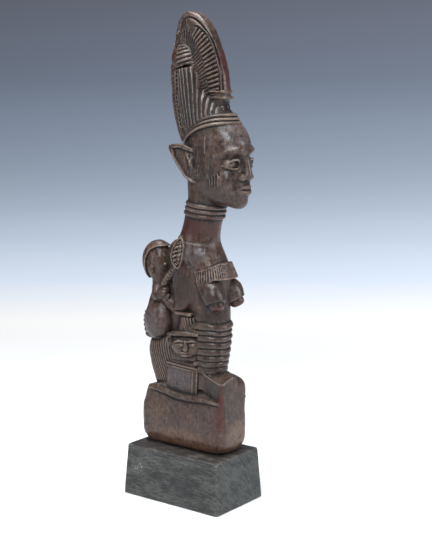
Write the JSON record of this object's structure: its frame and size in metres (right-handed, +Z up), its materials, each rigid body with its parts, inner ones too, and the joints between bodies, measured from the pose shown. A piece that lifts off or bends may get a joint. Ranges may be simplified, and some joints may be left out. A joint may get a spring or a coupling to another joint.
{
  "type": "dance staff",
  "caption": "Carved wooden dance staff figure of a crested mother with a child on her back and an attendant at her side, standing on a tapered plinth.",
  "frame": {"origin": "centre of the plinth's underside", "axes": "+Z up, the figure faces -Y, her right side is -X"},
  "size_m": [0.0616, 0.1035, 0.3883],
  "materials": {
    "carved_figure": "semi-gloss patina, worn red-brown on the edges",
    "plinth": "matt charcoal stain"
  },
  "bodies": {
    "root": {"carved_figure": "carved_figure", "plinth": "plinth"}
  },
  "joints": []
}
